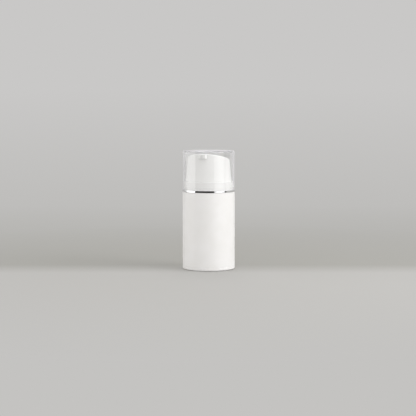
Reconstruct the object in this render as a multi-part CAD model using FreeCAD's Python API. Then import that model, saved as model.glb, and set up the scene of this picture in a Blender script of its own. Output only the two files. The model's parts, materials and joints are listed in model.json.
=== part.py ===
import FreeCAD, Part
import math
import os

from FreeCAD import Vector

# Airless pump bottle of 50 ml with a clear overcap.
# Millimetres. Origin at the centre of the base, +Z up, the spout points along -Y.

# Driving dimensions
BODY_DIAMETER = 41.0
TOTAL_HEIGHT = 92.9
CAPACITY_ML = 50.0
SHOULDER_HEIGHT = 60.9
BODY_WALL = 1.3
PUMP_STROKE = 4.5
VALVE_LIFT = 0.8
HEAD_SLOPE = 0.22
HEAD_MID_HEIGHT = SHOULDER_HEIGHT + 26.0

# Gaps of snapped or pressed pieces, of sliding pieces and of loose pieces
SNUG = 0.05
SLIDING = 0.03
LOOSE = 0.3

# Common wall, edge roundings and snap beads of the mouldings
SKIN = 1.2
EDGE = 0.3
FINE_EDGE = 0.15
BEAD_HALF = 0.15
BEAD_RAMP = 0.3
GROOVE_ROOM = 0.1

# Points nearer than this to a surface count as lying on it
TOUCHING = 0.001

# Bottle, base and follower
BODY_RADIUS = BODY_DIAMETER / 2
BORE_RADIUS = BODY_RADIUS - BODY_WALL
SEAM_HEIGHT = 2.5
SEAM_CHAMFER = 0.25
BASE_ROUNDING = 0.4
BASE_SKIRT_TOP = 4.9
BASE_BEAD = 0.2
BASE_BEAD_HEIGHT = 3.8
BASE_RECESS = 1.3
FOOT_INSIDE = 15.5
FOOT_OUTSIDE = 19.0
FOOT_HEIGHT = 0.5
VENT_RADIUS = 0.8
SHOULDER_ROUNDING = 0.4
SHOULDER_THICKNESS = 1.4
CHAMBER_TOP = SHOULDER_HEIGHT - SHOULDER_THICKNESS
CHAMBER_ROUNDING = 0.4
FOLLOWER_BOTTOM = BASE_SKIRT_TOP + LOOSE
FOLLOWER_TRAVEL = CAPACITY_ML * 1000 / (math.pi * BORE_RADIUS ** 2)
FOLLOWER_TOP = CHAMBER_TOP - CHAMBER_ROUNDING - LOOSE - FOLLOWER_TRAVEL

# Neck and what is stacked on it
NECK_INSIDE = 13.3
NECK_OUTSIDE = 14.9
NECK_TOP = SHOULDER_HEIGHT + 6.0
NECK_BEAD = 0.4
NECK_BEAD_HEIGHT = NECK_TOP - 1.1
GASKET_THICKNESS = 1.0
HOUSING_FLANGE_BOTTOM = NECK_TOP + GASKET_THICKNESS
HOUSING_FLANGE_TOP = HOUSING_FLANGE_BOTTOM + 1.2
CLOSURE_INSIDE = NECK_OUTSIDE + 0.1
CLOSURE_OUTSIDE = 16.0
CLOSURE_TOP = HOUSING_FLANGE_TOP + 1.2
CLOSURE_HOLE = 8.5
CLOSURE_ROUNDING = 0.6
FLANGE_RADIUS = CLOSURE_INSIDE - 0.1

# Trim ring, collar and overcap
RING_INSIDE = 19.6
RING_OUTSIDE = BODY_RADIUS + 0.3
RING_TOP = SHOULDER_HEIGHT + 1.4
COLLAR_FLANGE_TOP = SHOULDER_HEIGHT + 1.2
COLLAR_INSIDE = 18.2
COLLAR_OUTSIDE = 19.5
COLLAR_TOP = SHOULDER_HEIGHT + 8.0
CAP_INSIDE = 19.2
CAP_OUTSIDE = 20.2
CAP_BOTTOM = RING_TOP + 0.1
CAP_PLATE = 1.1
CAP_ROUNDING = 1.2
CAP_SKIRT_INSIDE = 19.6
CAP_BEAD_HEIGHT = SHOULDER_HEIGHT + 4.0

# Pump engine
PUMP_BORE = 4.5
PUMP_OUTSIDE = 5.6
PUMP_FLOOR = SHOULDER_HEIGHT - 4.6
PUMP_TOP = CLOSURE_TOP + 0.8
INLET_RADIUS = 0.9
INLET_SPIGOT = 2.6
INLET_END = PUMP_FLOOR - 4.4
SEAT_DEPTH = 1.5
GUIDE_TOP = PUMP_TOP + 1.0
STEM_RADIUS = 2.4
STEM_BORE = 1.3
STEM_FLANGE = 3.6
STEM_FLANGE_TOP = PUMP_TOP - SNUG
STEM_FLANGE_BOTTOM = STEM_FLANGE_TOP - 1.0
STEM_TOP = SHOULDER_HEIGHT + 21.5
PISTON_TOP = STEM_FLANGE_BOTTOM - VALVE_LIFT - SNUG
PISTON_HEIGHT = 4.1
PISTON_BOTTOM = PISTON_TOP - PISTON_HEIGHT
CORE_TOP = PISTON_BOTTOM - SNUG
BALL_RADIUS = 1.5
BALL_HEIGHT = PUMP_FLOOR - SEAT_DEPTH - INLET_RADIUS + (BALL_RADIUS + SLIDING) * math.sqrt(2)
SPRING_RADIUS = 5.0
SPRING_WIRE = 0.9
SPRING_TURNS = 5
SPRING_SEAT_TOP = STEM_TOP + 0.5

# Pump head
HEAD_SKIRT_RADIUS = COLLAR_INSIDE - LOOSE
HEAD_SKIRT_BOTTOM = COLLAR_FLANGE_TOP + PUMP_STROKE + 0.4
HEAD_SKIRT_TOP = COLLAR_TOP + 0.5
HEAD_TOP_RADIUS = 16.05
HEAD_TOP_HEIGHT = SHOULDER_HEIGHT + 30.0
HEAD_RIM_ROUNDING = 0.8
PAD_CURVE_RADIUS = 200.0
PAD_THICKNESS = 1.3
NOSE_TIP = -18.6
NOSE_ROOT = -14.0
NOSE_BOTTOM = SHOULDER_HEIGHT + 26.2
NOSE_TOP = SHOULDER_HEIGHT + 29.6
NOSE_TIP_WIDTH = 5.6
NOSE_ROOT_WIDTH = 7.4
NOSE_ROUNDING = 0.5
CHANNEL_ANGLE = math.radians(15.0)
CHANNEL_RADIUS = 0.7
CHANNEL_START_HEIGHT = SHOULDER_HEIGHT + 22.95
NOZZLE_RADIUS = 1.1
NOZZLE_BACK = -14.75
ORIFICE_RADIUS = 0.35
ORIFICE_PLATE = 1.2

UP = Vector(0, 0, 1)
AXIS_FOOT = Vector(0, 0, 0)
CHANNEL_START = Vector(0, 0, CHANNEL_START_HEIGHT)
CHANNEL_DIRECTION = Vector(0, -math.cos(CHANNEL_ANGLE), math.sin(CHANNEL_ANGLE))


def round_corner(before, corner, after, radius):
    """Ends and middle of the arc that rounds a corner between two straight runs."""
    to_before = (before - corner).normalize()
    to_after = (after - corner).normalize()
    half_angle = to_before.getAngle(to_after) / 2
    setback = radius / math.tan(half_angle)
    towards_centre = (to_before + to_after).normalize()
    middle = corner + towards_centre * (radius / math.sin(half_angle) - radius)
    return corner + to_before * setback, middle, corner + to_after * setback


def turned(*corners):
    """Solid turned about Z from corners (radius, height) or (radius, height, rounding)."""
    points = [Vector(corner[0], 0, corner[1]) for corner in corners]
    bends = []
    for index, corner in enumerate(corners):
        point = points[index]
        if len(corner) == 3:
            after = points[(index + 1) % len(points)]
            bends.append(round_corner(points[index - 1], point, after, corner[2]))
        else:
            bends.append((point, None, point))
    edges = []
    for index, (arrive, middle, leave) in enumerate(bends):
        if middle:
            edges.append(Part.Arc(arrive, middle, leave).toShape())
        next_arrive = bends[(index + 1) % len(bends)][0]
        edges.append(Part.makeLine(leave, next_arrive))
    return Part.Face(Part.Wire(edges)).revolve(AXIS_FOOT, UP, 360)


def bead(radius, height_out, level, room=0):
    """Corners, from the bottom up, of a snap bead on a wall, or of its groove with room to spare."""
    half = BEAD_HALF + room
    return [
        (radius, level - half - BEAD_RAMP),
        (radius + height_out, level - half),
        (radius + height_out, level + half),
        (radius, level + half + BEAD_RAMP),
    ]


def rod(start, direction, length, radius):
    """Round bar from a point along a direction."""
    return Part.makeCylinder(radius, length, start, direction)


def channel_point(depth):
    """Point on the product channel's axis at a given Y."""
    return CHANNEL_START + CHANNEL_DIRECTION * (depth / CHANNEL_DIRECTION.y)


def radial_slots(count, inner, outer, width, bottom, top):
    """Slots spread evenly about the axis, as one tool for cutting."""
    slot = Part.makeBox(outer - inner, width, top - bottom, Vector(inner, -width / 2, bottom))
    slots = []
    for index in range(count):
        turned_slot = slot.copy()
        turned_slot.rotate(AXIS_FOOT, UP, 360 * index / count)
        slots.append(turned_slot)
    return Part.makeCompound(slots)


def finger_pad(below):
    """Everything above the dished pad, or above a surface a distance below it."""
    tilt = math.atan(HEAD_SLOPE)
    centre_y = PAD_CURVE_RADIUS * math.sin(tilt)
    centre_z = HEAD_MID_HEIGHT + PAD_CURVE_RADIUS * math.cos(tilt)
    width = BODY_DIAMETER
    return rod(Vector(-width / 2, centre_y, centre_z), Vector(1, 0, 0), width, PAD_CURVE_RADIUS + below)


# Bottle

def bottle_body():
    """White cylinder with its shoulder, neck and snap bead, open below for the base."""
    return turned(
        (BORE_RADIUS, SEAM_HEIGHT),
        (BODY_RADIUS - SEAM_CHAMFER, SEAM_HEIGHT),
        (BODY_RADIUS, SEAM_HEIGHT + SEAM_CHAMFER),
        (BODY_RADIUS, SHOULDER_HEIGHT, SHOULDER_ROUNDING),
        (NECK_OUTSIDE, SHOULDER_HEIGHT),
        *bead(NECK_OUTSIDE, NECK_BEAD, NECK_BEAD_HEIGHT),
        (NECK_OUTSIDE, NECK_TOP, FINE_EDGE),
        (NECK_INSIDE, NECK_TOP, FINE_EDGE),
        (NECK_INSIDE, CHAMBER_TOP, EDGE),
        (BORE_RADIUS, CHAMBER_TOP, CHAMBER_ROUNDING),
        *reversed(bead(BORE_RADIUS, BASE_BEAD, BASE_BEAD_HEIGHT, GROOVE_ROOM)),
    )


def base_plug():
    """Base with an inset foot ring, a shallow recess, a vent hole and a snap-in skirt."""
    skirt = BORE_RADIUS - SNUG
    return turned(
        (VENT_RADIUS, BASE_RECESS),
        (FOOT_INSIDE - BASE_RECESS, BASE_RECESS),
        (FOOT_INSIDE, 0),
        (FOOT_OUTSIDE, 0, FINE_EDGE),
        (FOOT_OUTSIDE, FOOT_HEIGHT),
        (BODY_RADIUS, FOOT_HEIGHT, BASE_ROUNDING),
        (BODY_RADIUS, SEAM_HEIGHT - SEAM_CHAMFER),
        (BODY_RADIUS - SEAM_CHAMFER, SEAM_HEIGHT),
        (skirt, SEAM_HEIGHT),
        *bead(skirt, BASE_BEAD, BASE_BEAD_HEIGHT),
        (skirt, BASE_SKIRT_TOP, EDGE),
        (skirt - SKIN, BASE_SKIRT_TOP),
        (skirt - SKIN, SEAM_HEIGHT),
        (VENT_RADIUS, SEAM_HEIGHT),
    )


def follower_piston():
    """Piston under the product, with two wiping lips and a well that clears the pump."""
    lip = BORE_RADIUS - SLIDING
    lip_height = 1.0
    lip_reach = 0.7
    lip_flare = 0.9
    rim_wall = 0.6
    skirt_wall = 1.6
    face_depth = 0.7
    well_side_gap = 0.8
    well_end_gap = 1.0
    waist = BORE_RADIUS - lip_reach
    rim_inside = waist - rim_wall
    face = FOLLOWER_TOP - face_depth
    skirt_inside = waist - skirt_wall
    well_radius = PUMP_OUTSIDE + well_side_gap
    well_outside = well_radius + SKIN
    well_floor = INLET_END - well_end_gap - FOLLOWER_TRAVEL
    return turned(
        (0, well_floor - SKIN),
        (well_outside, well_floor - SKIN),
        (well_outside, face - SKIN),
        (skirt_inside, face - SKIN),
        (skirt_inside, FOLLOWER_BOTTOM),
        (lip, FOLLOWER_BOTTOM, EDGE),
        (lip, FOLLOWER_BOTTOM + lip_height),
        (waist, FOLLOWER_BOTTOM + lip_height + lip_flare),
        (waist, FOLLOWER_TOP - lip_height - lip_flare),
        (lip, FOLLOWER_TOP - lip_height),
        (lip, FOLLOWER_TOP, EDGE),
        (rim_inside, FOLLOWER_TOP),
        (rim_inside - face_depth, face),
        (well_radius, face, EDGE),
        (well_radius, well_floor, EDGE),
        (0, well_floor),
    )


# Shoulder and overcap

def trim_ring():
    """Bright ring on the shoulder, a little proud of the bottle."""
    return turned(
        (RING_INSIDE, SHOULDER_HEIGHT),
        (RING_OUTSIDE, SHOULDER_HEIGHT, FINE_EDGE),
        (RING_OUTSIDE, RING_TOP, FINE_EDGE),
        (RING_INSIDE, RING_TOP),
    )


def shoulder_collar():
    """Collar that guides the head inside and carries the overcap outside on a low bead."""
    cap_bead = CAP_SKIRT_INSIDE - SNUG - COLLAR_OUTSIDE
    flange_inside = CLOSURE_OUTSIDE + SNUG
    flange_outside = RING_INSIDE - SNUG
    return turned(
        (flange_inside, SHOULDER_HEIGHT),
        (flange_outside, SHOULDER_HEIGHT),
        (flange_outside, COLLAR_FLANGE_TOP),
        (COLLAR_OUTSIDE, COLLAR_FLANGE_TOP),
        *bead(COLLAR_OUTSIDE, cap_bead, CAP_BEAD_HEIGHT),
        (COLLAR_OUTSIDE, COLLAR_TOP, FINE_EDGE),
        (COLLAR_INSIDE, COLLAR_TOP, FINE_EDGE),
        (COLLAR_INSIDE, COLLAR_FLANGE_TOP),
        (flange_inside, COLLAR_FLANGE_TOP),
    )


def overcap():
    """Clear cap with a rounded top edge, open below, its wall drafted down to the skirt over the collar."""
    return turned(
        (CAP_SKIRT_INSIDE, COLLAR_TOP),
        (CAP_SKIRT_INSIDE, CAP_BOTTOM),
        (CAP_OUTSIDE, CAP_BOTTOM, FINE_EDGE),
        (CAP_OUTSIDE, TOTAL_HEIGHT, CAP_ROUNDING),
        (0, TOTAL_HEIGHT),
        (0, TOTAL_HEIGHT - CAP_PLATE),
        (CAP_INSIDE, TOTAL_HEIGHT - CAP_PLATE, CAP_ROUNDING / 2),
    )


# Pump

def pump_closure():
    """Snap-on closure: grips the neck bead, clamps the pump flange, holds the collar down."""
    keeper_reach = 0.15
    keeper_height = 0.6
    return turned(
        (CLOSURE_INSIDE, SHOULDER_HEIGHT),
        (CLOSURE_OUTSIDE, SHOULDER_HEIGHT),
        (CLOSURE_OUTSIDE, COLLAR_FLANGE_TOP),
        (CLOSURE_OUTSIDE + keeper_reach, COLLAR_FLANGE_TOP),
        (CLOSURE_OUTSIDE, COLLAR_FLANGE_TOP + keeper_height),
        (CLOSURE_OUTSIDE, CLOSURE_TOP, CLOSURE_ROUNDING),
        (CLOSURE_HOLE, CLOSURE_TOP),
        (CLOSURE_HOLE, HOUSING_FLANGE_TOP),
        (CLOSURE_INSIDE, HOUSING_FLANGE_TOP),
        *reversed(bead(CLOSURE_INSIDE, NECK_BEAD, NECK_BEAD_HEIGHT, GROOVE_ROOM)),
    )


def neck_gasket():
    """Flat seal between the neck and the pump flange."""
    overhang = 1.8
    inside = NECK_INSIDE - overhang
    return turned(
        (inside, NECK_TOP),
        (FLANGE_RADIUS, NECK_TOP),
        (FLANGE_RADIUS, HOUSING_FLANGE_BOTTOM),
        (inside, HOUSING_FLANGE_BOTTOM),
    )


def pump_housing():
    """Pump cylinder with its flange, the cone seat for the ball and the inlet spigot."""
    taper_height = 1.4
    floor_corner = PUMP_FLOOR - SKIN
    spigot_root = floor_corner - taper_height
    return turned(
        (INLET_RADIUS, INLET_END),
        (INLET_SPIGOT, INLET_END, EDGE),
        (INLET_SPIGOT, spigot_root),
        (PUMP_OUTSIDE, floor_corner),
        (PUMP_OUTSIDE, HOUSING_FLANGE_BOTTOM),
        (FLANGE_RADIUS, HOUSING_FLANGE_BOTTOM),
        (FLANGE_RADIUS, HOUSING_FLANGE_TOP),
        (PUMP_OUTSIDE, HOUSING_FLANGE_TOP),
        (PUMP_OUTSIDE, PUMP_TOP),
        (PUMP_BORE, PUMP_TOP),
        (PUMP_BORE, PUMP_FLOOR),
        (INLET_RADIUS + SEAT_DEPTH, PUMP_FLOOR),
        (INLET_RADIUS, PUMP_FLOOR - SEAT_DEPTH),
    )


def housing_cap():
    """Stem guide on the pump cylinder, with a rim that keeps the spring centred."""
    stem_hole = STEM_RADIUS + SNUG
    skirt_inside = PUMP_OUTSIDE + SNUG
    skirt_outside = skirt_inside + SKIN
    skirt_bottom = HOUSING_FLANGE_TOP + SNUG
    spring_rim = SPRING_RADIUS + SPRING_WIRE / 2 + LOOSE
    rim_top = GUIDE_TOP + SPRING_WIRE
    return turned(
        (stem_hole, PUMP_TOP),
        (skirt_inside, PUMP_TOP),
        (skirt_inside, skirt_bottom),
        (skirt_outside, skirt_bottom),
        (skirt_outside, rim_top),
        (spring_rim, rim_top),
        (spring_rim, GUIDE_TOP),
        (stem_hole, GUIDE_TOP),
    )


def pump_stem():
    """Hollow stem with the flange that stops it under the guide."""
    core_gap = 0.2
    bottom = CORE_TOP + core_gap
    return turned(
        (STEM_BORE, bottom),
        (STEM_RADIUS, bottom),
        (STEM_RADIUS, STEM_FLANGE_BOTTOM),
        (STEM_FLANGE, STEM_FLANGE_BOTTOM),
        (STEM_FLANGE, STEM_FLANGE_TOP),
        (STEM_RADIUS, STEM_FLANGE_TOP),
        (STEM_RADIUS, STEM_TOP),
        (STEM_BORE, STEM_TOP),
    )


def stem_core():
    """Valve core: a seat for the piston and a plug in the stem, with four flow slots."""
    plug = STEM_BORE - SLIDING
    plug_length = 3.9
    plug_top = CORE_TOP + plug_length
    seat = 3.4
    bevel = 0.4
    slot_count = 4
    slot_width = 0.7
    slot_inner = 0.7
    slot_outer = seat - SKIN
    slot_bottom = CORE_TOP - bevel
    core = turned(
        (0, CORE_TOP - SKIN),
        (seat, CORE_TOP - SKIN),
        (seat, CORE_TOP - bevel),
        (seat - 2 * bevel, CORE_TOP),
        (plug, CORE_TOP),
        (plug, plug_top),
        (0, plug_top),
    )
    return core.cut(radial_slots(slot_count, slot_inner, slot_outer, slot_width, slot_bottom, plug_top))


def pump_piston():
    """Piston with a lip at each end, sliding a little way on the stem."""
    hub_inside = STEM_RADIUS + SNUG
    hub_wall = 0.85
    hub_outside = hub_inside + hub_wall
    sleeve_inside = 3.9
    sleeve_outside = 4.2
    lip_inside = 4.1
    lip_outside = PUMP_BORE - SLIDING
    lip_height = 0.4
    lip_depth = 1.2
    web_bottom = PISTON_BOTTOM + lip_depth
    web_top = PISTON_TOP - lip_depth
    return turned(
        (hub_inside, PISTON_BOTTOM),
        (hub_outside, PISTON_BOTTOM),
        (hub_outside, web_bottom),
        (sleeve_inside, web_bottom),
        (lip_inside, PISTON_BOTTOM),
        (lip_outside, PISTON_BOTTOM),
        (lip_outside, PISTON_BOTTOM + lip_height),
        (sleeve_outside, web_bottom),
        (sleeve_outside, web_top),
        (lip_outside, PISTON_TOP - lip_height),
        (lip_outside, PISTON_TOP),
        (lip_inside, PISTON_TOP),
        (sleeve_inside, web_top),
        (hub_outside, web_top),
        (hub_outside, PISTON_TOP),
        (hub_inside, PISTON_TOP),
    )


def inlet_ball():
    """Ball of the inlet valve."""
    return Part.makeSphere(BALL_RADIUS, Vector(0, 0, BALL_HEIGHT))


def inlet_cage():
    """Cup over the ball, with three slots that pass the product and a roof that stops the ball."""
    outside = PUMP_BORE - SNUG
    inside = outside - SKIN
    roof = BALL_HEIGHT + BALL_RADIUS + VALVE_LIFT + SNUG
    roof_top = roof + SKIN / 2
    slot_count = 3
    slot_width = 1.8
    slot_inner = 1.2
    slot_bottom = PUMP_FLOOR + SKIN / 2
    cup = turned(
        (inside, PUMP_FLOOR),
        (outside, PUMP_FLOOR),
        (outside, roof_top, FINE_EDGE),
        (0, roof_top),
        (0, roof),
        (inside, roof),
    )
    return cup.cut(radial_slots(slot_count, slot_inner, PUMP_OUTSIDE, slot_width, slot_bottom, PUMP_TOP))


def helix_point(angle, rise):
    """Point and direction of the spring's centre line."""
    bottom = GUIDE_TOP + SPRING_WIRE / 2 + SNUG
    across = Vector(math.cos(angle), math.sin(angle), 0) * SPRING_RADIUS
    along = Vector(-math.sin(angle), math.cos(angle), 0) * SPRING_RADIUS
    return across + UP * (bottom + rise * angle), (along + UP * rise).normalize()


def arc_through(start, corner, end):
    """Arc tangent to both legs of an isosceles corner."""
    chord_middle = (start + end) / 2
    half_chord = start.distanceToPoint(chord_middle)
    height = corner.distanceToPoint(chord_middle)
    half_turn = math.atan(height / half_chord)
    bulge = half_chord * math.tan(half_turn / 2)
    middle = chord_middle + (corner - chord_middle).normalize() * bulge
    return Part.Arc(start, middle, end).toShape()


def biarc(start, start_way, end, end_way):
    """Two arcs that join two points and keep both directions."""
    span = end - start
    reach = span.dot(start_way + end_way)
    spare = 2 * (1 - start_way.dot(end_way))
    leg = (math.sqrt(reach ** 2 + spare * span.dot(span)) - reach) / spare
    first_corner = start + start_way * leg
    second_corner = end - end_way * leg
    joint = (first_corner + second_corner) / 2
    return [arc_through(start, first_corner, joint), arc_through(joint, second_corner, end)]


def least_spring_gap(rise):
    """Smallest gap between the turns, measured on points of the centre line."""
    points_per_turn = 36
    points = []
    for index in range(points_per_turn * SPRING_TURNS + 1):
        points.append(helix_point(2 * math.pi * index / points_per_turn, rise)[0])
    distances = []
    for index, point in enumerate(points):
        for other in points[index + points_per_turn // 2:]:
            distances.append(point.distanceToPoint(other))
    return min(distances) - SPRING_WIRE


def return_spring():
    """Round wire wound as one helix between the guide and the head."""
    climb = SPRING_SEAT_TOP - GUIDE_TOP - SPRING_WIRE - 2 * SNUG
    rise = climb / (2 * math.pi * SPRING_TURNS)
    quarter = math.pi / 2
    arcs = []
    for step in range(4 * SPRING_TURNS):
        start, start_way = helix_point(step * quarter, rise)
        end, end_way = helix_point((step + 1) * quarter, rise)
        arcs += biarc(start, start_way, end, end_way)
    start, start_way = helix_point(0, rise)
    section = Part.Wire(Part.makeCircle(SPRING_WIRE / 2, start, start_way))
    spring = Part.Wire(arcs).makePipeShell([section], True, False)
    wire_length = 2 * math.pi * SPRING_TURNS * math.hypot(SPRING_RADIUS, rise)
    wire_volume = wire_length * math.pi * SPRING_WIRE ** 2 / 4
    print("spring: least gap %.2f mm, volume %.2f of %.2f mm3"
          % (least_spring_gap(rise), spring.Volume, wire_volume))
    return spring


# Pump head

def spout_nose():
    """Small block at the top of the head's front, tapering to a rounded tip."""
    root = NOSE_ROOT_WIDTH / 2
    tip = NOSE_TIP_WIDTH / 2
    outline = Part.makePolygon([
        Vector(-root, NOSE_ROOT, NOSE_BOTTOM),
        Vector(root, NOSE_ROOT, NOSE_BOTTOM),
        Vector(tip, NOSE_TIP, NOSE_BOTTOM),
        Vector(-tip, NOSE_TIP, NOSE_BOTTOM),
        Vector(-root, NOSE_ROOT, NOSE_BOTTOM),
    ])
    block = Part.Face(outline).extrude(UP * (NOSE_TOP - NOSE_BOTTOM))
    outer_edges = [edge for edge in block.Edges if edge.CenterOfMass.y < NOSE_ROOT - SNUG]
    return block.makeFillet(NOSE_ROUNDING, outer_edges)


def head_cone(inset, *bottom_edge):
    """Straight skirt and taper of the head, carried up past the pad."""
    radius = HEAD_SKIRT_RADIUS - inset
    taper = (HEAD_SKIRT_RADIUS - HEAD_TOP_RADIUS) / (HEAD_TOP_HEIGHT - HEAD_SKIRT_TOP)
    top_radius = radius - taper * (TOTAL_HEIGHT - HEAD_SKIRT_TOP)
    return turned(
        (0, HEAD_SKIRT_BOTTOM),
        (radius, HEAD_SKIRT_BOTTOM, *bottom_edge),
        (radius, HEAD_SKIRT_TOP),
        (top_radius, TOTAL_HEIGHT),
        (0, TOTAL_HEIGHT),
    )


def meeting_edges(joined, first, second):
    """Edges of a joined solid that lie on both of the solids it was made from."""
    edges = []
    for edge in joined.Edges:
        middle = Part.Vertex(edge.valueAt((edge.FirstParameter + edge.LastParameter) / 2))
        if max(first.distToShape(middle)[0], second.distToShape(middle)[0]) < TOUCHING:
            edges.append(edge)
    return edges


def actuator_shell():
    """Tapered head with a slanted dished pad, a skirt that runs in the collar and a nose."""
    head = head_cone(0, EDGE).cut(finger_pad(0))
    rim = []
    for edge in head.Edges:
        is_seam = isinstance(edge.Curve, Part.Line)
        if edge.BoundBox.ZMin > HEAD_SKIRT_TOP + SKIN and not is_seam:
            rim.append(edge)
    head = head.makeFillet(HEAD_RIM_ROUNDING, rim)
    nose = spout_nose()
    outside = head.fuse(nose).removeSplitter()
    outside = outside.makeFillet(NOSE_ROUNDING, meeting_edges(outside, head, nose))
    hollow = head_cone(SKIN).cut(finger_pad(PAD_THICKNESS))
    bore_start = channel_point(NOZZLE_BACK + NOZZLE_RADIUS)
    bore = rod(bore_start, CHANNEL_DIRECTION, BODY_RADIUS, NOZZLE_RADIUS + SNUG)
    return outside.cut(hollow).cut(bore).removeSplitter()


def actuator_core():
    """Socket on the stem, spring seat and rising channel, moulded in one under the pad."""
    tube_wall = 0.8
    seat_margin = 0.6
    seat_thickness = 1.0
    socket_outside = SPRING_RADIUS - SPRING_WIRE / 2 - LOOSE
    socket_bottom = GUIDE_TOP + PUMP_STROKE + LOOSE
    socket_depth = STEM_TOP + SNUG - socket_bottom
    seat = SPRING_RADIUS + SPRING_WIRE / 2 + seat_margin
    seat_top = SPRING_SEAT_TOP + seat_thickness
    tube_radius = CHANNEL_RADIUS + tube_wall
    tube_length = (NOZZLE_BACK + SNUG) / CHANNEL_DIRECTION.y
    core = turned(
        (0, socket_bottom),
        (socket_outside, socket_bottom),
        (socket_outside, SPRING_SEAT_TOP),
        (seat, SPRING_SEAT_TOP),
        (seat, seat_top),
        (socket_outside, seat_top),
        (socket_outside, TOTAL_HEIGHT),
        (0, TOTAL_HEIGHT),
    )
    core = core.fuse(rod(CHANNEL_START, CHANNEL_DIRECTION, tube_length, tube_radius))
    core = core.cut(finger_pad(PAD_THICKNESS + SNUG))
    core = core.cut(rod(UP * socket_bottom, UP, socket_depth, STEM_RADIUS + SNUG))
    core = core.cut(rod(UP * STEM_TOP, UP, CHANNEL_START_HEIGHT - STEM_TOP, STEM_BORE))
    return core.cut(rod(CHANNEL_START, CHANNEL_DIRECTION, tube_length, CHANNEL_RADIUS)).removeSplitter()


def nozzle_insert():
    """Short tube pressed into the nose, with a small countersunk orifice in its upright end."""
    start = channel_point(NOZZLE_BACK)
    proud = 0.15
    face = NOSE_TIP - proud
    length = 2 * (NOZZLE_BACK - NOSE_TIP)
    bore_length = (face + ORIFICE_PLATE - NOZZLE_BACK) / CHANNEL_DIRECTION.y
    tube = rod(start, CHANNEL_DIRECTION, length, NOZZLE_RADIUS)
    tube = tube.cut(rod(start, CHANNEL_DIRECTION, bore_length, CHANNEL_RADIUS))
    tube = tube.cut(rod(start, CHANNEL_DIRECTION, length, ORIFICE_RADIUS))
    corner = Vector(-BODY_RADIUS, face - length, NOSE_BOTTOM)
    beyond = Part.makeBox(BODY_DIAMETER, length, TOTAL_HEIGHT - NOSE_BOTTOM, corner)
    tube = tube.cut(beyond)
    funnel_depth = CHANNEL_RADIUS - ORIFICE_RADIUS
    funnel_start = channel_point(face) - CHANNEL_DIRECTION * funnel_depth
    funnel = Part.makeCone(ORIFICE_RADIUS, NOZZLE_RADIUS, NOZZLE_RADIUS - ORIFICE_RADIUS,
                           funnel_start, CHANNEL_DIRECTION)
    return tube.cut(funnel)


PIECES = [
    bottle_body,
    base_plug,
    follower_piston,
    trim_ring,
    shoulder_collar,
    overcap,
    pump_closure,
    neck_gasket,
    pump_housing,
    housing_cap,
    pump_stem,
    stem_core,
    pump_piston,
    inlet_ball,
    inlet_cage,
    return_spring,
    actuator_shell,
    actuator_core,
    nozzle_insert,
]

os.makedirs("parts", exist_ok=True)
for piece in PIECES:
    solid, = piece().Solids
    box = solid.BoundBox
    print("%-16s valid %s, volume %8.2f mm3, height %5.2f to %5.2f"
          % (piece.__name__, solid.isValid(), solid.Volume, box.ZMin, box.ZMax))
    solid.exportStep("parts/%s.step" % piece.__name__)
print("follower travel %.3f mm" % FOLLOWER_TRAVEL)
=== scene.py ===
import json
import math

import bmesh
import bpy
from bpy.props import FloatProperty, FloatVectorProperty, IntProperty, PointerProperty
from bpy.types import Operator, Panel, PropertyGroup
from mathutils import Matrix, Vector


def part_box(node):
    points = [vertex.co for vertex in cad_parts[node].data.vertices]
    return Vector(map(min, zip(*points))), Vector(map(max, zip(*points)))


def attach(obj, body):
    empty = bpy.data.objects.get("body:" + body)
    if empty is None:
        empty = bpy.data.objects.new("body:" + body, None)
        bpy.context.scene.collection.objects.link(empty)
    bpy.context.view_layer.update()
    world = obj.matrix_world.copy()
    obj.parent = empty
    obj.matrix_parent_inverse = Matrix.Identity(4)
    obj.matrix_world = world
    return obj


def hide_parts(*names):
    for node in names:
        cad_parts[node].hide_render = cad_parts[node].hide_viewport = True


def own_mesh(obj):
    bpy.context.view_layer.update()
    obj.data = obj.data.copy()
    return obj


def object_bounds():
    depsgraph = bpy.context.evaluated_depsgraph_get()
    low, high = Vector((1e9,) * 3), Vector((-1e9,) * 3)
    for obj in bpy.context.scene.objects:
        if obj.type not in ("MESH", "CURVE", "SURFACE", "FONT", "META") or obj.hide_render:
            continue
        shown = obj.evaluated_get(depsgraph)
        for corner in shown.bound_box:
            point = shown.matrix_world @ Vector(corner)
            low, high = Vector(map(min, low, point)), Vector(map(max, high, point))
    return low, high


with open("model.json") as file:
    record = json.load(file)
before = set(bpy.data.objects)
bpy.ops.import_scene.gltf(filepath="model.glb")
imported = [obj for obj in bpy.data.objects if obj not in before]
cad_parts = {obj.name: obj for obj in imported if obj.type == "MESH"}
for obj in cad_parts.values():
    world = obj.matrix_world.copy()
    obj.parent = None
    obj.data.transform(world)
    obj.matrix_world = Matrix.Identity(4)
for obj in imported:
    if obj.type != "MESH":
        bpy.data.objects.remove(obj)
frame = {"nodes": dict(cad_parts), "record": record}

bl_info = {
    "name": "Airless Pump Bottle",
    "version": (1, 0, 0),
    "blender": (4, 5, 0),
    "location": "View3D > Sidebar > Airless Bottle",
    "description": "Surfaces, finishes and studio of a 50 ml airless pump bottle with a clear overcap",
    "category": "Add Mesh",
}

# Metres, +Z up along the bottle, the spout points along -Y.
MM = 0.001
CAD_LOW, CAD_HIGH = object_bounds()
BODY_LOW, BODY_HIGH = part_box("bottle_body")
BASE_LOW, BASE_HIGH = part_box("base_plug")
RING_LOW, RING_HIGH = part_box("trim_ring")
COLLAR_LOW, COLLAR_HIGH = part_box("shoulder_collar")
CAP_LOW, CAP_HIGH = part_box("overcap")
SPRING_LOW, SPRING_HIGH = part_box("return_spring")


def linear(hex_colour):
    """Linear colour with alpha from an sRGB hex value."""
    channels = []
    for index in (1, 3, 5):
        value = int(hex_colour[index:index + 2], 16) / 255
        channels.append(value / 12.92 if value <= 0.04045 else ((value + 0.055) / 1.055) ** 2.4)
    return (*channels, 1.0)


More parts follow.
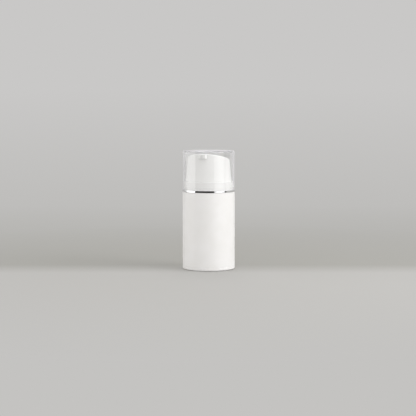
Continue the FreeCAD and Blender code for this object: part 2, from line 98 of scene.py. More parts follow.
def colour_property(name, description, hex_colour):
    """Colour that a user can change, given as an sRGB hex value."""
    return FloatVectorProperty(name=name, description=description, subtype="COLOR", size=4,
                               min=0.0, max=1.0, default=linear(hex_colour))


def length_property(name, description, default):
    """Length in metres that a user can change."""
    return FloatProperty(name=name, description=description, unit="LENGTH", precision=5,
                         min=0.0, default=default)


def level_property(name, description, default):
    """Level of light that a user can change."""
    return FloatProperty(name=name, description=description, min=0.0, default=default)


class BottleSizes(PropertyGroup):
    """Sizes of the turned pieces that the frame's boxes don't give."""
    segments: IntProperty(name="Segments", description="Facets round a turned piece", min=24, default=256)
    fine_edge: length_property("Fine edge", "Radius of the sharp edges", 0.1 * MM)
    edge: length_property("Edge", "Radius of the common edges", 0.15 * MM)
    soft_edge: length_property("Soft edge", "Radius of handled edges and inner corners", 0.3 * MM)
    snug: length_property("Snug gap", "Gap between pieces that are snapped together", 0.05 * MM)
    body_wall: length_property("Body wall", "Thickness of the bottle's wall", 1.3 * MM)
    shoulder_thickness: length_property("Shoulder", "Thickness of the bottle's shoulder", 1.4 * MM)
    shoulder_rounding: length_property("Shoulder rounding", "Radius of the bottle's top edge", 0.4 * MM)
    neck_outside: length_property("Neck radius", "Outside radius of the neck", 14.9 * MM)
    neck_wall: length_property("Neck wall", "Thickness of the neck", 1.6 * MM)
    seam_chamfer: length_property("Seam chamfer", "Bevel on both sides of the base's seam", 0.25 * MM)
    base_rounding: length_property("Base rounding", "Radius of the bottom edge", 0.4 * MM)
    foot_outside: length_property("Foot ring outside", "Outside radius of the foot ring", 19.0 * MM)
    foot_inside: length_property("Foot ring inside", "Inside radius of the foot ring", 15.5 * MM)
    foot_height: length_property("Foot height", "How far the foot ring lifts the bottom edge", 0.5 * MM)
    foot_recess: length_property("Foot recess", "Depth of the base inside the foot ring", 1.3 * MM)
    base_skirt: length_property("Base skirt", "Thickness of the base's skirt in the bottle", 1.2 * MM)
    vent_radius: length_property("Vent hole", "Radius of the air hole under the follower", 0.8 * MM)
    ring_inside: length_property("Ring inside", "Inside radius of the trim ring", 19.6 * MM)
    collar_wall_inside: length_property("Collar inside", "Inside radius of the collar's wall", 18.2 * MM)
    collar_wall_outside: length_property("Collar outside", "Outside radius of the collar's wall", 19.5 * MM)
    collar_flange: length_property("Collar flange", "Thickness of the collar's flange", 1.2 * MM)
    collar_hole: length_property("Collar hole", "Radius of the hole in the collar's flange", 16.05 * MM)
    bead_level: length_property("Bead level", "Height of the cap's bead above the shoulder", 4.0 * MM)
    bead_half: length_property("Bead width", "Half the width of the bead's flat top", 0.15 * MM)
    bead_ramp: length_property("Bead ramp", "Length of the bead's lead-in", 0.3 * MM)
    cap_wall: length_property("Cap wall", "Thickness of the clear cap's side", 1.0 * MM)
    cap_skirt: length_property("Cap skirt", "Thickness of the cap's side over the collar", 0.6 * MM)
    cap_plate: length_property("Cap top", "Thickness of the clear cap's top", 1.1 * MM)
    cap_rounding: length_property("Cap rounding", "Radius of the clear cap's top edge", 1.2 * MM)
    cap_gate: length_property("Gate mark", "Radius of the gate's mark on the cap's top", 0.9 * MM)
    cap_dimple: length_property("Gate dimple", "Depth of the gate's mark", 0.12 * MM)
    spring_wire: length_property("Spring wire", "Diameter of the return spring's wire", 0.9 * MM)
    spring_turns: IntProperty(name="Spring turns", description="Turns of the spring", min=1, default=5)


class BottleFinishes(PropertyGroup):
    """Colours of the materials."""
    white: colour_property("White", "Pigment of the white mouldings", "#F5F4F3")
    white_thin: colour_property("White, thin", "Paler clouds in the white pigment", "#F8F7F7")
    head_white: colour_property("Head white", "Pigment of the glossy white mouldings", "#F6F6F6")
    head_thin: colour_property("Head white, thin", "Paler clouds in the glossy white pigment", "#F9F9F9")
    clear: colour_property("Clear", "Tint of the clear plastic", "#FEFEFE")
    clear_edge: colour_property("Clear, edges", "Pale haze of the clear plastic, edge on", "#F4F4F8")
    bright: colour_property("Bright metal", "Polished aluminium", "#F2F2F3")
    natural: colour_property("Natural polypropylene", "Unpigmented pump pieces", "#E6E5DE")
    waxy: colour_property("Natural polyethylene", "Unpigmented seals and pistons", "#E2E3DD")
    steel: colour_property("Stainless steel", "Spring and ball", "#C9C8C6")


class BottleStage(PropertyGroup):
    """Camera, light and backdrop."""
    camera_turn: FloatProperty(name="Camera turn", description="Turn to the right of the spout",
                               subtype="ANGLE", default=math.radians(17))
    camera_distance: length_property("Camera distance", "From the bottle's axis, along the floor", 0.93)
    camera_height: length_property("Camera height", "Above the floor", 125.9 * MM)
    aim_height: length_property("Aim height", "Point on the axis that the camera looks at", 47.7 * MM)
    aim_left: length_property("Aim to the left", "How far left of the axis the camera looks", 0.55 * MM)
    lens: FloatProperty(name="Lens", description="Focal length in millimetres", subtype="DISTANCE_CAMERA",
                        default=102.7)
    key_brightness: level_property("Right softbox", "Radiance of the right softbox", 0.9)
    side_brightness: level_property("Left softbox", "Radiance of the left softbox", 0.7)
    high_brightness: level_property("High softbox", "Radiance of the high softbox", 5.5)
    back_brightness: level_property("Back softbox", "Radiance of the back softbox", 1.4)
    face_brightness: level_property("Box faces", "Radiance that only reflections show", 0.6)
    room_brightness: level_property("Room", "Strength of the even light of the room", 1.54)
    floor: colour_property("Floor", "Pale floor in front", "#C4C3C1")
    # Painted shade: the floor's paint darkens to this colour in a band behind the bottle.
    corner: colour_property("Corner", "Shade where floor and wall meet", "#B2B1AD")
    wall: colour_property("Wall", "Wall at eye level", "#BEBDBB")
    wall_top: colour_property("Wall top", "Upper part of the wall", "#C9C8C7")
    dark: colour_property("Dark studio", "Unlit side of the studio, seen in polished metal", "#060607")


# Node trees

POLYPROPYLENE_IOR = 1.49
POLYETHYLENE_IOR = 1.51
STYRENE_ACRYLONITRILE_IOR = 1.57


def add(tree, kind, links=None, stops=(), **settings):
    """Adds a node: links holds values or other nodes' outputs by socket, stops the colours of a ramp."""
    node = tree.nodes.new("ShaderNode" + kind)
    for name, value in settings.items():
        setattr(node, name, value)
    for index, (position, colour) in enumerate(stops):
        if index >= len(node.color_ramp.elements):
            node.color_ramp.elements.new(position)
        node.color_ramp.elements[index].position = position
        node.color_ramp.elements[index].color = colour
    for name, value in (links or {}).items():
        if isinstance(value, bpy.types.NodeSocket):
            tree.links.new(value, node.inputs[name])
        else:
            node.inputs[name].default_value = value
    return node


def per_metre(millimetres):
    """Scale that gives a pattern a feature of this size."""
    return 1 / (millimetres * MM)


def empty_material(name):
    """Material with no nodes yet."""
    material = bpy.data.materials.new(name)
    material.use_nodes = True
    material.node_tree.nodes.clear()
    return material


def moulded(name, colours, roughness, ior, grain_mm, depth_mm, subsurface=0.0):
    """Moulded plastic: pigment clouds, a gloss that varies with them, and a fine grain."""
    cloud_mm = 12
    material = empty_material(name)
    tree = material.node_tree
    place = add(tree, "TexCoord").outputs["Object"]
    cloud = add(tree, "TexNoise", {"Vector": place, "Scale": per_metre(cloud_mm), "Detail": 2.0}).outputs[0]
    peel = add(tree, "TexNoise", {"Vector": place, "Scale": per_metre(grain_mm), "Detail": 1.0}).outputs[0]
    colour = add(tree, "ValToRGB", {"Fac": cloud}, stops=[(0.35, colours[0]), (0.65, colours[1])])
    gloss = add(tree, "MapRange", {"Value": cloud, "From Min": 0.3, "From Max": 0.7,
                                   "To Min": roughness[0], "To Max": roughness[1]})
    bump = add(tree, "Bump", {"Height": peel, "Strength": 1.0, "Distance": depth_mm * MM})
    surface = add(tree, "BsdfPrincipled", {
        "Base Color": colour.outputs["Color"], "Roughness": gloss.outputs["Result"], "IOR": ior,
        "Normal": bump.outputs["Normal"], "Subsurface Weight": subsurface,
        "Subsurface Radius": (1.0, 0.9, 0.8), "Subsurface Scale": 1.5 * MM})
    add(tree, "OutputMaterial", {"Surface": surface.outputs["BSDF"]})
    return material


def satin_polypropylene(finishes):
    # White polypropylene from a spark-eroded mould: a soft sheen with no mirror image in it.
    # The real grain of 0.05 mm is too fine to show, so it is drawn at 0.5 mm.
    return moulded("polypropylene_white_satin_moulded", (finishes.white, finishes.white_thin),
                   roughness=(0.36, 0.44), ior=POLYPROPYLENE_IOR, grain_mm=0.5, depth_mm=0.0015)


def gloss_polypropylene(finishes):
    # White polypropylene from a polished mould: bright, slightly wavy highlights.
    return moulded("polypropylene_white_gloss_moulded", (finishes.head_white, finishes.head_thin),
                   roughness=(0.14, 0.20), ior=POLYPROPYLENE_IOR, grain_mm=3.0, depth_mm=0.004)


def natural_polypropylene(finishes):
    # Unpigmented polypropylene: milky and a little translucent.
    return moulded("polypropylene_natural_moulded", (finishes.natural, finishes.white),
                   roughness=(0.30, 0.40), ior=POLYPROPYLENE_IOR, grain_mm=1.5, depth_mm=0.003,
                   subsurface=0.2)


def natural_polyethylene(finishes):
    # Unpigmented polyethylene: waxy, softer sheen than the pump's other pieces.
    return moulded("polyethylene_natural_moulded", (finishes.waxy, finishes.natural),
                   roughness=(0.42, 0.52), ior=POLYETHYLENE_IOR, grain_mm=1.2, depth_mm=0.004,
                   subsurface=0.2)


def clear_styrene(finishes):
    # Clear styrene-acrylonitrile from a polished mould: glass-like, with faintly wavy reflections,
    # and paler where it is seen edge on, because a long way through it gathers light.
    # Light passes straight through it, so what stands inside is lit.
    flow_mm = 9
    flow_depth_mm = 0.004
    material = empty_material("styrene_acrylonitrile_clear_moulded")
    tree = material.node_tree
    place = add(tree, "TexCoord").outputs["Object"]
    flow = add(tree, "TexNoise", {"Vector": place, "Scale": per_metre(flow_mm), "Detail": 1.0}).outputs[0]
    haze = add(tree, "MapRange", {"Value": flow, "To Min": 0.0, "To Max": 0.03})
    bump = add(tree, "Bump", {"Height": flow, "Strength": 1.0, "Distance": flow_depth_mm * MM})
    surface = add(tree, "BsdfPrincipled", {
        "Base Color": finishes.clear, "Roughness": haze.outputs["Result"],
        "IOR": STYRENE_ACRYLONITRILE_IOR, "Transmission Weight": 1.0, "Normal": bump.outputs["Normal"]})
    front = add(tree, "BsdfDiffuse", {"Color": finishes.clear_edge}).outputs["BSDF"]
    behind = add(tree, "BsdfTranslucent", {"Color": finishes.clear_edge}).outputs["BSDF"]
    gathered = add(tree, "MixShader", {1: front, 2: behind}).outputs["Shader"]
    edge_on = add(tree, "LayerWeight", {"Blend": 0.3}).outputs["Facing"]
    share = add(tree, "MapRange", {"Value": edge_on, "From Min": 0.25, "To Max": 0.7}).outputs["Result"]
    surface = add(tree, "MixShader", {0: share, 1: surface.outputs["BSDF"], 2: gathered}).outputs["Shader"]
    passing = add(tree, "BsdfTransparent", {"Color": finishes.clear})
    path = add(tree, "LightPath").outputs
    lighting = add(tree, "Math", {0: path["Is Shadow Ray"], 1: path["Is Diffuse Ray"]},
                   operation="MAXIMUM").outputs["Value"]
    mixed = add(tree, "MixShader", {0: lighting, 1: surface, 2: passing.outputs["BSDF"]})
    add(tree, "OutputMaterial", {"Surface": mixed.outputs["Shader"]})
    return material


def polished_aluminium(finishes):
    # Aluminium, spun and polished: a dark mirror with fine lines that run round the ring.
    # The real lines of 0.02 mm are too fine to show, so they are drawn at 0.2 mm.
    line_mm = 0.2
    line_depth_mm = 0.0004
    along_lines = 0.02
    material = empty_material("aluminium_polished_spun")
    tree = material.node_tree
    place = add(tree, "TexCoord").outputs["Object"]
    stretch = (along_lines, along_lines, 1.0)
    stretched = add(tree, "Mapping", {"Vector": place, "Scale": stretch}).outputs["Vector"]
    lines = add(tree, "TexNoise", {"Vector": stretched, "Scale": per_metre(line_mm),
                                   "Detail": 2.0}).outputs[0]
    gloss = add(tree, "MapRange", {"Value": lines, "To Min": 0.03, "To Max": 0.08})
    bump = add(tree, "Bump", {"Height": lines, "Strength": 1.0, "Distance": line_depth_mm * MM})
    surface = add(tree, "BsdfPrincipled", {
        "Base Color": finishes.bright, "Metallic": 1.0, "Roughness": gloss.outputs["Result"],
        "Normal": bump.outputs["Normal"]})
    add(tree, "OutputMaterial", {"Surface": surface.outputs["BSDF"]})
    return material


def drawn_steel(finishes):
    # Stainless steel, drawn as wire or ground as a ball: bright, with streaks in its gloss.
    streak_mm = 0.4
    material = empty_material("stainless_steel_drawn")
    tree = material.node_tree
    place = add(tree, "TexCoord").outputs["Object"]
    streaks = add(tree, "TexNoise", {"Vector": place, "Scale": per_metre(streak_mm),
                                     "Detail": 3.0}).outputs[0]
    gloss = add(tree, "MapRange", {"Value": streaks, "To Min": 0.16, "To Max": 0.34})
    surface = add(tree, "BsdfPrincipled", {
        "Base Color": finishes.steel, "Metallic": 1.0, "Roughness": gloss.outputs["Result"]})
    add(tree, "OutputMaterial", {"Surface": surface.outputs["BSDF"]})
    return material


FINISHES = {
    "white_polypropylene_satin": satin_polypropylene,
    "white_polypropylene_gloss": gloss_polypropylene,
    "natural_polypropylene": natural_polypropylene,
    "natural_polyethylene": natural_polyethylene,
    "clear_san": clear_styrene,
    "polished_aluminium": polished_aluminium,
    "stainless_steel": drawn_steel,
}
made_finishes = {}


def finish_for(slot, context):
    """The material of one of the record's slots, made once."""
    if slot not in made_finishes:
        made_finishes[slot] = FINISHES[slot](context.scene.bottle_finishes)
    return made_finishes[slot]


# Meshes

def eased(corners):
    """Closed outline from corners (radius, height, rounding), with points that keep straight runs flat."""
    arc_step = math.radians(15)
    straight_half_angle = math.radians(89)
    hold = 0.08 * MM
    runs = []
    for index, (radius, height, rounding) in enumerate(corners):
        corner = Vector((radius, height))
        to_before = (Vector(corners[index - 1][:2]) - corner).normalized()
        to_after = (Vector(corners[(index + 1) % len(corners)][:2]) - corner).normalized()
        half_angle = to_before.angle(to_after) / 2
        if rounding == 0 or half_angle > straight_half_angle:
            runs.append([corner])
            continue
        setback = rounding / math.tan(half_angle)
        centre = corner + (to_before + to_after).normalized() * rounding / math.sin(half_angle)
        start = corner + to_before * setback - centre
        sweep = start.angle_signed(corner + to_after * setback - centre)
        steps = max(2, math.ceil(abs(sweep) / arc_step))
        arc = [Matrix.Rotation(-sweep * step / steps, 2) @ start for step in range(steps + 1)]
        runs.append([centre + point for point in arc])
    outline = []
    for index, run in enumerate(runs):
        outline += run
        start = run[-1]
        end = runs[(index + 1) % len(runs)][0]
        length = (end - start).length
        if length > 4 * hold:
            outline += [start.lerp(end, hold / length), end.lerp(start, hold / length)]
    return outline


def mesh_piece(name, mesh_source, body, slot, context, *nodes):
    """Piece from a bmesh, smooth, in its slot's finish, riding on a body in place of CAD nodes."""
    bmesh.ops.recalc_face_normals(mesh_source, faces=mesh_source.faces[:])
    mesh = bpy.data.meshes.new(name)
    mesh_source.to_mesh(mesh)
    mesh_source.free()
    mesh.shade_smooth()
    mesh.materials.append(finish_for(slot, context))
    piece = bpy.data.objects.new(name, mesh)
    context.scene.collection.objects.link(piece)
    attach(piece, body)
    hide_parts(*nodes)
    return piece


def turned(outline, segments):
    """Closed bmesh from an outline (radius, height) turned about Z; points on the axis become poles."""
    on_axis = 1e-7
    made = bmesh.new()
    rings = []
    for radius, height in outline:
        if radius < on_axis:
            rings.append([made.verts.new((0, 0, height))] * segments)
            continue
        ring = []
        for index in range(segments):
            angle = 2 * math.pi * index / segments
            ring.append(made.verts.new((radius * math.cos(angle), radius * math.sin(angle), height)))
        rings.append(ring)
    for ring, above in zip(rings, rings[1:] + rings[:1]):
        for index in range(segments):
            after = (index + 1) % segments
            corners = dict.fromkeys((ring[index], ring[after], above[after], above[index]))
            if len(corners) > 2:
                made.faces.new(corners)
    return made


class AIRLESS_OT_body(Operator):
    """White bottle: cylinder, shoulder and neck"""
    bl_idname = "airless.body"
    bl_label = "Bottle Body"

    def execute(self, context):
        sizes = context.scene.bottle_sizes
        outside = BODY_HIGH.x
        bore = outside - sizes.body_wall
        seam = BODY_LOW.z
        shoulder = RING_LOW.z
        neck_inside = sizes.neck_outside - sizes.neck_wall
        chamber_top = shoulder - sizes.shoulder_thickness
        outline = eased([
            (bore, seam, sizes.fine_edge),
            (outside - sizes.seam_chamfer, seam, sizes.fine_edge),
            (outside, seam + sizes.seam_chamfer, sizes.fine_edge),
            (outside, shoulder, sizes.shoulder_rounding),
            (sizes.neck_outside, shoulder, sizes.fine_edge),
            (sizes.neck_outside, BODY_HIGH.z, sizes.edge),
            (neck_inside, BODY_HIGH.z, sizes.edge),
            (neck_inside, chamber_top, sizes.soft_edge),
            (bore, chamber_top, sizes.shoulder_rounding),
        ])
        mesh_piece("bottle_body_moulding", turned(outline, sizes.segments), "bottle",
                   "white_polypropylene_satin", context, "bottle_body")
        return {"FINISHED"}


class AIRLESS_OT_base(Operator):
    """Base with its foot ring, recess and vent hole"""
    bl_idname = "airless.base"
    bl_label = "Base"

    def execute(self, context):
        sizes = context.scene.bottle_sizes
        outside = BODY_HIGH.x
        seam = BODY_LOW.z
        skirt = outside - sizes.body_wall - sizes.snug
        skirt_inside = skirt - sizes.base_skirt
        outline = eased([
            (sizes.vent_radius, sizes.foot_recess, sizes.edge),
            (sizes.foot_inside - sizes.foot_recess, sizes.foot_recess, sizes.soft_edge),
            (sizes.foot_inside, BASE_LOW.z, sizes.edge),
            (sizes.foot_outside, BASE_LOW.z, sizes.edge),
            (sizes.foot_outside, sizes.foot_height, sizes.fine_edge),
            (outside, sizes.foot_height, sizes.base_rounding),
            (outside, seam - sizes.seam_chamfer, sizes.fine_edge),
            (outside - sizes.seam_chamfer, seam, sizes.fine_edge),
            (skirt, seam, sizes.fine_edge),
            (skirt, BASE_HIGH.z, sizes.soft_edge),
            (skirt_inside, BASE_HIGH.z, sizes.edge),
            (skirt_inside, seam, sizes.soft_edge),
            (sizes.vent_radius, seam, sizes.fine_edge),
        ])
        mesh_piece("base_moulding", turned(outline, sizes.segments), "bottle",
                   "white_polypropylene_satin", context, "base_plug")
        return {"FINISHED"}


class AIRLESS_OT_trim_ring(Operator):
    """Bright ring on the shoulder"""
    bl_idname = "airless.trim_ring"
    bl_label = "Trim Ring"

    def execute(self, context):
        sizes = context.scene.bottle_sizes
        outline = eased([
            (sizes.ring_inside, RING_LOW.z, sizes.fine_edge),
            (RING_HIGH.x, RING_LOW.z, sizes.fine_edge),
            (RING_HIGH.x, RING_HIGH.z, sizes.fine_edge),
            (sizes.ring_inside, RING_HIGH.z, sizes.fine_edge),
        ])
        mesh_piece("trim_ring_polished", turned(outline, sizes.segments), "bottle",
                   "polished_aluminium", context, "trim_ring")
        return {"FINISHED"}


class AIRLESS_OT_collar(Operator):
    """White collar round the pump head"""
    bl_idname = "airless.collar"
    bl_label = "Shoulder Collar"

    def execute(self, context):
        sizes = context.scene.bottle_sizes
        flange_top = COLLAR_LOW.z + sizes.collar_flange
        bead_level = COLLAR_LOW.z + sizes.bead_level
        bead_foot = sizes.bead_half + sizes.bead_ramp
        wall = sizes.collar_wall_outside
        outline = eased([
            (sizes.collar_hole, COLLAR_LOW.z, sizes.fine_edge),
            (COLLAR_HIGH.x, COLLAR_LOW.z, 0),
            (COLLAR_HIGH.x, flange_top, 0),
            (wall, flange_top, 0),
            (wall, bead_level - bead_foot, sizes.fine_edge),
            (COLLAR_HIGH.x, bead_level - sizes.bead_half, sizes.fine_edge),
            (COLLAR_HIGH.x, bead_level + sizes.bead_half, sizes.fine_edge),
            (wall, bead_level + bead_foot, sizes.fine_edge),
            (wall, COLLAR_HIGH.z, sizes.edge),
            (sizes.collar_wall_inside, COLLAR_HIGH.z, sizes.edge),
            (sizes.collar_wall_inside, flange_top, sizes.soft_edge),
            (sizes.collar_hole, flange_top, sizes.fine_edge),
        ])
        mesh_piece("collar_moulding", turned(outline, sizes.segments), "bottle",
                   "white_polypropylene_gloss", context, "shoulder_collar")
        return {"FINISHED"}


class AIRLESS_OT_overcap(Operator):
    """Clear overcap with a rounded top edge"""
    bl_idname = "airless.overcap"
    bl_label = "Clear Overcap"

    def execute(self, context):
        sizes = context.scene.bottle_sizes
        outside = CAP_HIGH.x
        inside = outside - sizes.cap_wall
        skirt = outside - sizes.cap_skirt
        ceiling = CAP_HIGH.z - sizes.cap_plate
        dimple = CAP_HIGH.z - sizes.cap_dimple
        outline = eased([
            (skirt, COLLAR_HIGH.z, sizes.cap_rounding),
            (skirt, CAP_LOW.z, sizes.edge),
            (outside, CAP_LOW.z, sizes.edge),
            (outside, CAP_HIGH.z, sizes.cap_rounding),
            (sizes.cap_gate + sizes.cap_dimple, CAP_HIGH.z, sizes.fine_edge),
            (sizes.cap_gate, dimple, sizes.fine_edge),
            (0, dimple, 0),
            (0, ceiling, 0),
            (inside, ceiling, sizes.cap_rounding / 2),
        ])
        mesh_piece("overcap_clear_moulding", turned(outline, sizes.segments), "overcap",
                   "clear_san", context, "overcap")
        return {"FINISHED"}


class AIRLESS_OT_spring(Operator):
    """Return spring, a fixed coil; the real one shortens as the head goes down"""
    bl_idname = "airless.spring"
    bl_label = "Return Spring"

    def execute(self, context):
        sizes = context.scene.bottle_sizes
        wire = sizes.spring_wire / 2
        coil = SPRING_HIGH.x - wire
        bottom = SPRING_LOW.z + wire
        height = SPRING_HIGH.z - SPRING_LOW.z - 2 * wire
        steps_per_turn = 48
        around = 16
        steps = steps_per_turn * sizes.spring_turns
        slope = height / (2 * math.pi * sizes.spring_turns * coil)
        made = bmesh.new()
        rings = []
        for step in range(steps + 1):
            angle = 2 * math.pi * step / steps_per_turn
            outward = Vector((math.cos(angle), math.sin(angle), 0))
            along = Vector((-math.sin(angle), math.cos(angle), slope))
            upward = outward.cross(along.normalized())
            centre = outward * coil + Vector((0, 0, bottom + height * step / steps))
            ring = []
            for index in range(around):
                turn = 2 * math.pi * index / around
                offset = outward * math.cos(turn) + upward * math.sin(turn)
                ring.append(made.verts.new(centre + offset * wire))
            rings.append(ring)
        for ring, following in zip(rings, rings[1:]):
            for index in range(around):
                after = (index + 1) % around
                made.faces.new((ring[index], ring[after], following[after], following[index]))
        made.faces.new(rings[0])
        made.faces.new(rings[-1])
        spring = mesh_piece("return_spring_wound", made, "bottle", "stainless_steel",
                            context, "return_spring")
        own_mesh(spring)
        return {"FINISHED"}


class AIRLESS_OT_pump(Operator):
    """Finishes of the head, the pump inside it and the follower"""
    bl_idname = "airless.pump"
    bl_label = "Pump and Head"

    def execute(self, context):
        for subpart in frame["record"]["subparts"]:
            node = frame["nodes"][subpart["node"]]
            if not node.hide_render:
                node.data.materials.clear()
                node.data.materials.append(finish_for(subpart["material_slot"], context))
        return {"FINISHED"}


# Stage

# Metres from the bottle, with +Y away from the camera
FLOOR_FRONT = -0.45
FLOOR_HALF_WIDTH = 0.5
WALL_DISTANCE = 0.6
WALL_HALF_WIDTH = 1.0
WALL_TOP = 0.6
SOFTBOX_DISTANCE = 0.85
FACE_DISTANCE = 0.9


def flat_sheet(name, corners, context):
    """Sheet from corners in order."""
    mesh = bpy.data.meshes.new(name)
    mesh.from_pydata(corners, [], [tuple(range(len(corners)))])
    sheet = bpy.data.objects.new(name, mesh)
    context.scene.collection.objects.link(sheet)
    return sheet


def softbox(name, brightness, context, turn_degrees, rise_degrees, width, height, side_share,
            distance=SOFTBOX_DISTANCE):
    """Softbox that faces the bottle, turned from the camera, with a share of light left at its sides."""
    turn = context.scene.bottle_stage.camera_turn + math.radians(turn_degrees)
    rise = math.radians(rise_degrees)
    centre = Vector((0, 0, CAD_HIGH.z / 2))
    lamp = bpy.data.lights.new(name, "AREA")
    lamp.shape = "RECTANGLE"
    lamp.size = width
    lamp.size_y = height
    # Watts that give an even rectangle this radiance
    lamp.energy = brightness * math.pi * lamp.size * lamp.size_y
    lamp.use_nodes = True
    tree = lamp.node_tree
    tree.nodes.clear()
    across = add(tree, "SeparateXYZ", {0: add(tree, "NewGeometry").outputs["Parametric"]}).outputs["X"]
    dim = (side_share, side_share, side_share, 1)
    full = (1, 1, 1, 1)
    falloff = add(tree, "ValToRGB", {"Fac": across}, stops=[(0.0, dim), (0.5, full), (1.0, dim)])
    falloff.color_ramp.interpolation = "EASE"
    glow = add(tree, "Emission", {"Color": falloff.outputs["Color"]})
    add(tree, "OutputLight", {"Surface": glow.outputs["Emission"]})
    box = bpy.data.objects.new(name, lamp)
    outward = Vector((math.sin(turn) * math.cos(rise), -math.cos(turn) * math.cos(rise), math.sin(rise)))
    box.location = centre + outward * distance
    box.rotation_euler = (-outward).to_track_quat("-Z", "Y").to_euler()
    # Unseen beside the clear cap, and so unseen through it
    box.visible_camera = False
    box.visible_transmission = False
    context.scene.collection.objects.link(box)
    return box


def seen_from(turn):
    """Turn about Z that puts +Y away from a camera at this turn."""
    return Matrix.Rotation(turn, 4, "Z")


def floor_paper(stage):
    # Matt card: it takes the bottle's soft shadow and has no gloss of its own.
    # Its colour runs from the front, through a band of painted shade behind the bottle, to that of the
    # wall.
    # Farther out more of it glows by itself, so that it meets the wall evenly.
    ramp_start = -0.1
    pale_until = -0.027
    shade_from = 0.02
    shade_until = 0.06
    glow_from = 0.12
    glow_until = 0.35
    near_glow = 0.2
    # Light that falls on the card, which its paint makes up for
    light_level = 1.11
    material = empty_material("card_grey_matt")
    tree = material.node_tree
    place = add(tree, "TexCoord").outputs["Object"]
    depth = add(tree, "SeparateXYZ", {0: place}).outputs["Y"]
    share = add(tree, "MapRange", {"Value": depth, "From Min": ramp_start,
                                   "From Max": WALL_DISTANCE}).outputs["Result"]
    marks = [(pale_until, stage.floor), (shade_from, stage.corner),
             (shade_until, stage.corner), (WALL_DISTANCE, stage.wall)]
    stops = [((mark - ramp_start) / (WALL_DISTANCE - ramp_start), colour) for mark, colour in marks]
    painted = [(position, [value / light_level for value in colour[:3]] + [1])
               for position, colour in stops]
    paint = add(tree, "ValToRGB", {"Fac": share}, stops=painted)
    lit = add(tree, "BsdfDiffuse", {"Color": paint.outputs["Color"]})
    shine = add(tree, "ValToRGB", {"Fac": share}, stops=stops)
    glow = add(tree, "Emission", {"Color": shine.outputs["Color"]})
    reach = add(tree, "VectorMath", {0: place}, operation="LENGTH").outputs["Value"]
    even = add(tree, "MapRange", {"Value": reach, "From Min": glow_from, "From Max": glow_until,
                                  "To Min": near_glow, "To Max": 1.0})
    mixed = add(tree, "MixShader", {0: even.outputs["Result"], 1: lit.outputs["BSDF"],
                                    2: glow.outputs["Emission"]})
    add(tree, "OutputMaterial", {"Surface": mixed.outputs["Shader"]})
    return material


def wall_paper(stage):
    # Matt card: an even grey with no gloss, which grows paler with height.
    palest_at = 0.15
    material = empty_material("card_grey_wall")
    tree = material.node_tree
    place = add(tree, "TexCoord").outputs["Object"]
    height = add(tree, "SeparateXYZ", {0: place}).outputs["Z"]
    share = add(tree, "MapRange", {"Value": height, "From Max": palest_at}).outputs["Result"]
    colour = add(tree, "ValToRGB", {"Fac": share}, stops=[(0.0, stage.wall), (1.0, stage.wall_top)])
    glow = add(tree, "Emission", {"Color": colour.outputs["Color"]})
    add(tree, "OutputMaterial", {"Surface": glow.outputs["Emission"]})
    return material


def studio_air(context, stage):
    """World: a pale room that lights the bottle evenly, with an unlit front that only reflections show."""
    unlit_turn = math.radians(10)
    unlit_half = math.radians(70)
    unlit_edge = math.radians(76)
    world = bpy.data.worlds.new("studio")
    world.use_nodes = True
    tree = world.node_tree
    tree.nodes.clear()
    lighting = add(tree, "Background", {"Color": stage.floor, "Strength": stage.room_brightness})
    pale = add(tree, "Background", {"Color": stage.floor})
    dark = add(tree, "Background", {"Color": stage.dark})
    path = add(tree, "LightPath").outputs
    bent = add(tree, "Math", {0: path["Is Glossy Ray"], 1: path["Is Transmission Ray"]},
               operation="MAXIMUM")
    looking = add(tree, "Math", {0: path["Is Camera Ray"], 1: bent.outputs["Value"]}, operation="MAXIMUM")
    room = add(tree, "MixShader", {0: looking.outputs["Value"], 1: lighting.outputs["Background"],
                                   2: pale.outputs["Background"]})
    # A ray that comes out of the clear cap counts as both kinds, and sees the pale room.
    mirrored = add(tree, "Math", {0: path["Is Glossy Ray"], 1: path["Is Transmission Ray"]},
                   operation="SUBTRACT", use_clamp=True).outputs["Value"]
    middle = seen_from(stage.camera_turn + unlit_turn) @ Vector((0, -1, 0))
    way = add(tree, "TexCoord").outputs["Generated"]
    towards = add(tree, "VectorMath", {0: way, 1: middle}, operation="DOT_PRODUCT").outputs["Value"]
    front = add(tree, "MapRange", {"Value": towards, "From Min": math.cos(unlit_edge),
                                   "From Max": math.cos(unlit_half)}, interpolation_type="SMOOTHSTEP")
    unlit = add(tree, "Math", {0: mirrored, 1: front.outputs["Result"]},
                operation="MULTIPLY").outputs["Value"]
    mixed = add(tree, "MixShader", {0: unlit, 1: room.outputs["Shader"], 2: dark.outputs["Background"]})
    add(tree, "OutputWorld", {"Surface": mixed.outputs["Shader"]})
    context.scene.world = world


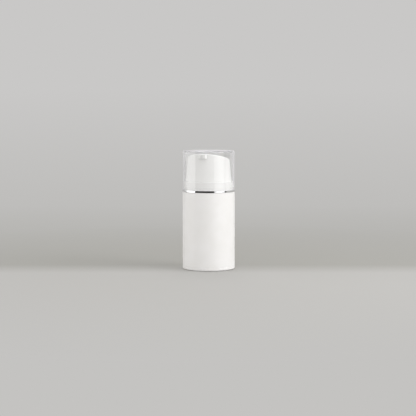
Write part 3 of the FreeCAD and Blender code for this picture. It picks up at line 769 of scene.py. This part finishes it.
class AIRLESS_OT_stage(Operator):
    """Floor, wall, softboxes and camera"""
    bl_idname = "airless.stage"
    bl_label = "Stage"

    def execute(self, context):
        scene = context.scene
        stage = scene.bottle_stage
        turn = stage.camera_turn
        light_bounces = 32
        right_turn = 48.5
        left_turn = -90
        front_left = (-FLOOR_HALF_WIDTH, FLOOR_FRONT, 0)
        front_right = (FLOOR_HALF_WIDTH, FLOOR_FRONT, 0)
        corner_right = (WALL_HALF_WIDTH, WALL_DISTANCE, 0)
        corner_left = (-WALL_HALF_WIDTH, WALL_DISTANCE, 0)
        top_right = (WALL_HALF_WIDTH, WALL_DISTANCE, WALL_TOP)
        top_left = (-WALL_HALF_WIDTH, WALL_DISTANCE, WALL_TOP)
        floor = flat_sheet("floor", [front_left, front_right, corner_right, corner_left], context)
        wall = flat_sheet("wall", [corner_left, corner_right, top_right, top_left], context)
        floor.data.materials.append(floor_paper(stage))
        wall.data.materials.append(wall_paper(stage))
        for sheet in (floor, wall):
            sheet.matrix_world = seen_from(turn)
        softbox("softbox_right", stage.key_brightness, context, turn_degrees=right_turn, rise_degrees=0,
                width=0.77, height=1.0, side_share=0.45)
        softbox("softbox_left", stage.side_brightness, context, turn_degrees=left_turn, rise_degrees=0,
                width=0.94, height=1.0, side_share=0.9)
        softbox("softbox_high", stage.high_brightness, context, turn_degrees=70, rise_degrees=27,
                width=0.6, height=0.3, side_share=0.45)
        back_box = softbox("softbox_back", stage.back_brightness, context, turn_degrees=180,
                           rise_degrees=65, width=0.5, height=0.4, side_share=1.0)
        # The cap's flat top would mirror this box and hide the head from above.
        back_box.visible_glossy = False
        # The bright faces of the side boxes, which only the cap, the ring and other glossy pieces show.
        faces = (("face_right", right_turn, 0.815), ("face_left", left_turn, 0.995))
        for name, turn_degrees, width in faces:
            face = softbox(name, stage.face_brightness, context, turn_degrees=turn_degrees, rise_degrees=0,
                           width=width, height=1.06, side_share=0.9, distance=FACE_DISTANCE)
            face.visible_diffuse = False
        studio_air(context, stage)
        camera = bpy.data.objects.new("camera", bpy.data.cameras.new("camera"))
        scene.collection.objects.link(camera)
        camera.data.lens = stage.lens
        camera.location = seen_from(turn) @ Vector((0, -stage.camera_distance, stage.camera_height))
        aim = seen_from(turn) @ Vector((-stage.aim_left, 0, stage.aim_height))
        camera.rotation_euler = (aim - camera.location).to_track_quat("-Z", "Y").to_euler()
        scene.camera = camera
        scene.view_settings.view_transform = "Standard"
        # The clear cap guides light round its edges, which takes many bounces.
        scene.cycles.max_bounces = light_bounces
        scene.cycles.glossy_bounces = light_bounces
        scene.cycles.transmission_bounces = light_bounces
        return {"FINISHED"}


BUILD_STEPS = (
    AIRLESS_OT_body,
    AIRLESS_OT_base,
    AIRLESS_OT_trim_ring,
    AIRLESS_OT_collar,
    AIRLESS_OT_overcap,
    AIRLESS_OT_spring,
    AIRLESS_OT_pump,
    AIRLESS_OT_stage,
)


class AIRLESS_PT_build(Panel):
    """Steps that build the bottle, and the values that they use"""
    bl_label = "Airless Bottle"
    bl_space_type = "VIEW_3D"
    bl_region_type = "UI"
    bl_category = "Airless Bottle"

    def draw(self, context):
        layout = self.layout
        for step in BUILD_STEPS:
            layout.operator(step.bl_idname)
        scene = context.scene
        for group in (scene.bottle_sizes, scene.bottle_finishes, scene.bottle_stage):
            box = layout.box()
            for name in group.__annotations__:
                box.prop(group, name)


CLASSES = (BottleSizes, BottleFinishes, BottleStage, *BUILD_STEPS, AIRLESS_PT_build)


def register():
    for added in CLASSES:
        bpy.utils.register_class(added)
    bpy.types.Scene.bottle_sizes = PointerProperty(type=BottleSizes)
    bpy.types.Scene.bottle_finishes = PointerProperty(type=BottleFinishes)
    bpy.types.Scene.bottle_stage = PointerProperty(type=BottleStage)


def unregister():
    del bpy.types.Scene.bottle_stage
    del bpy.types.Scene.bottle_finishes
    del bpy.types.Scene.bottle_sizes
    for added in reversed(CLASSES):
        bpy.utils.unregister_class(added)


def main():
    register()
    for step in BUILD_STEPS:
        group, name = step.bl_idname.split(".")
        getattr(getattr(bpy.ops, group), name)()


if __name__ == "__main__":
    main()
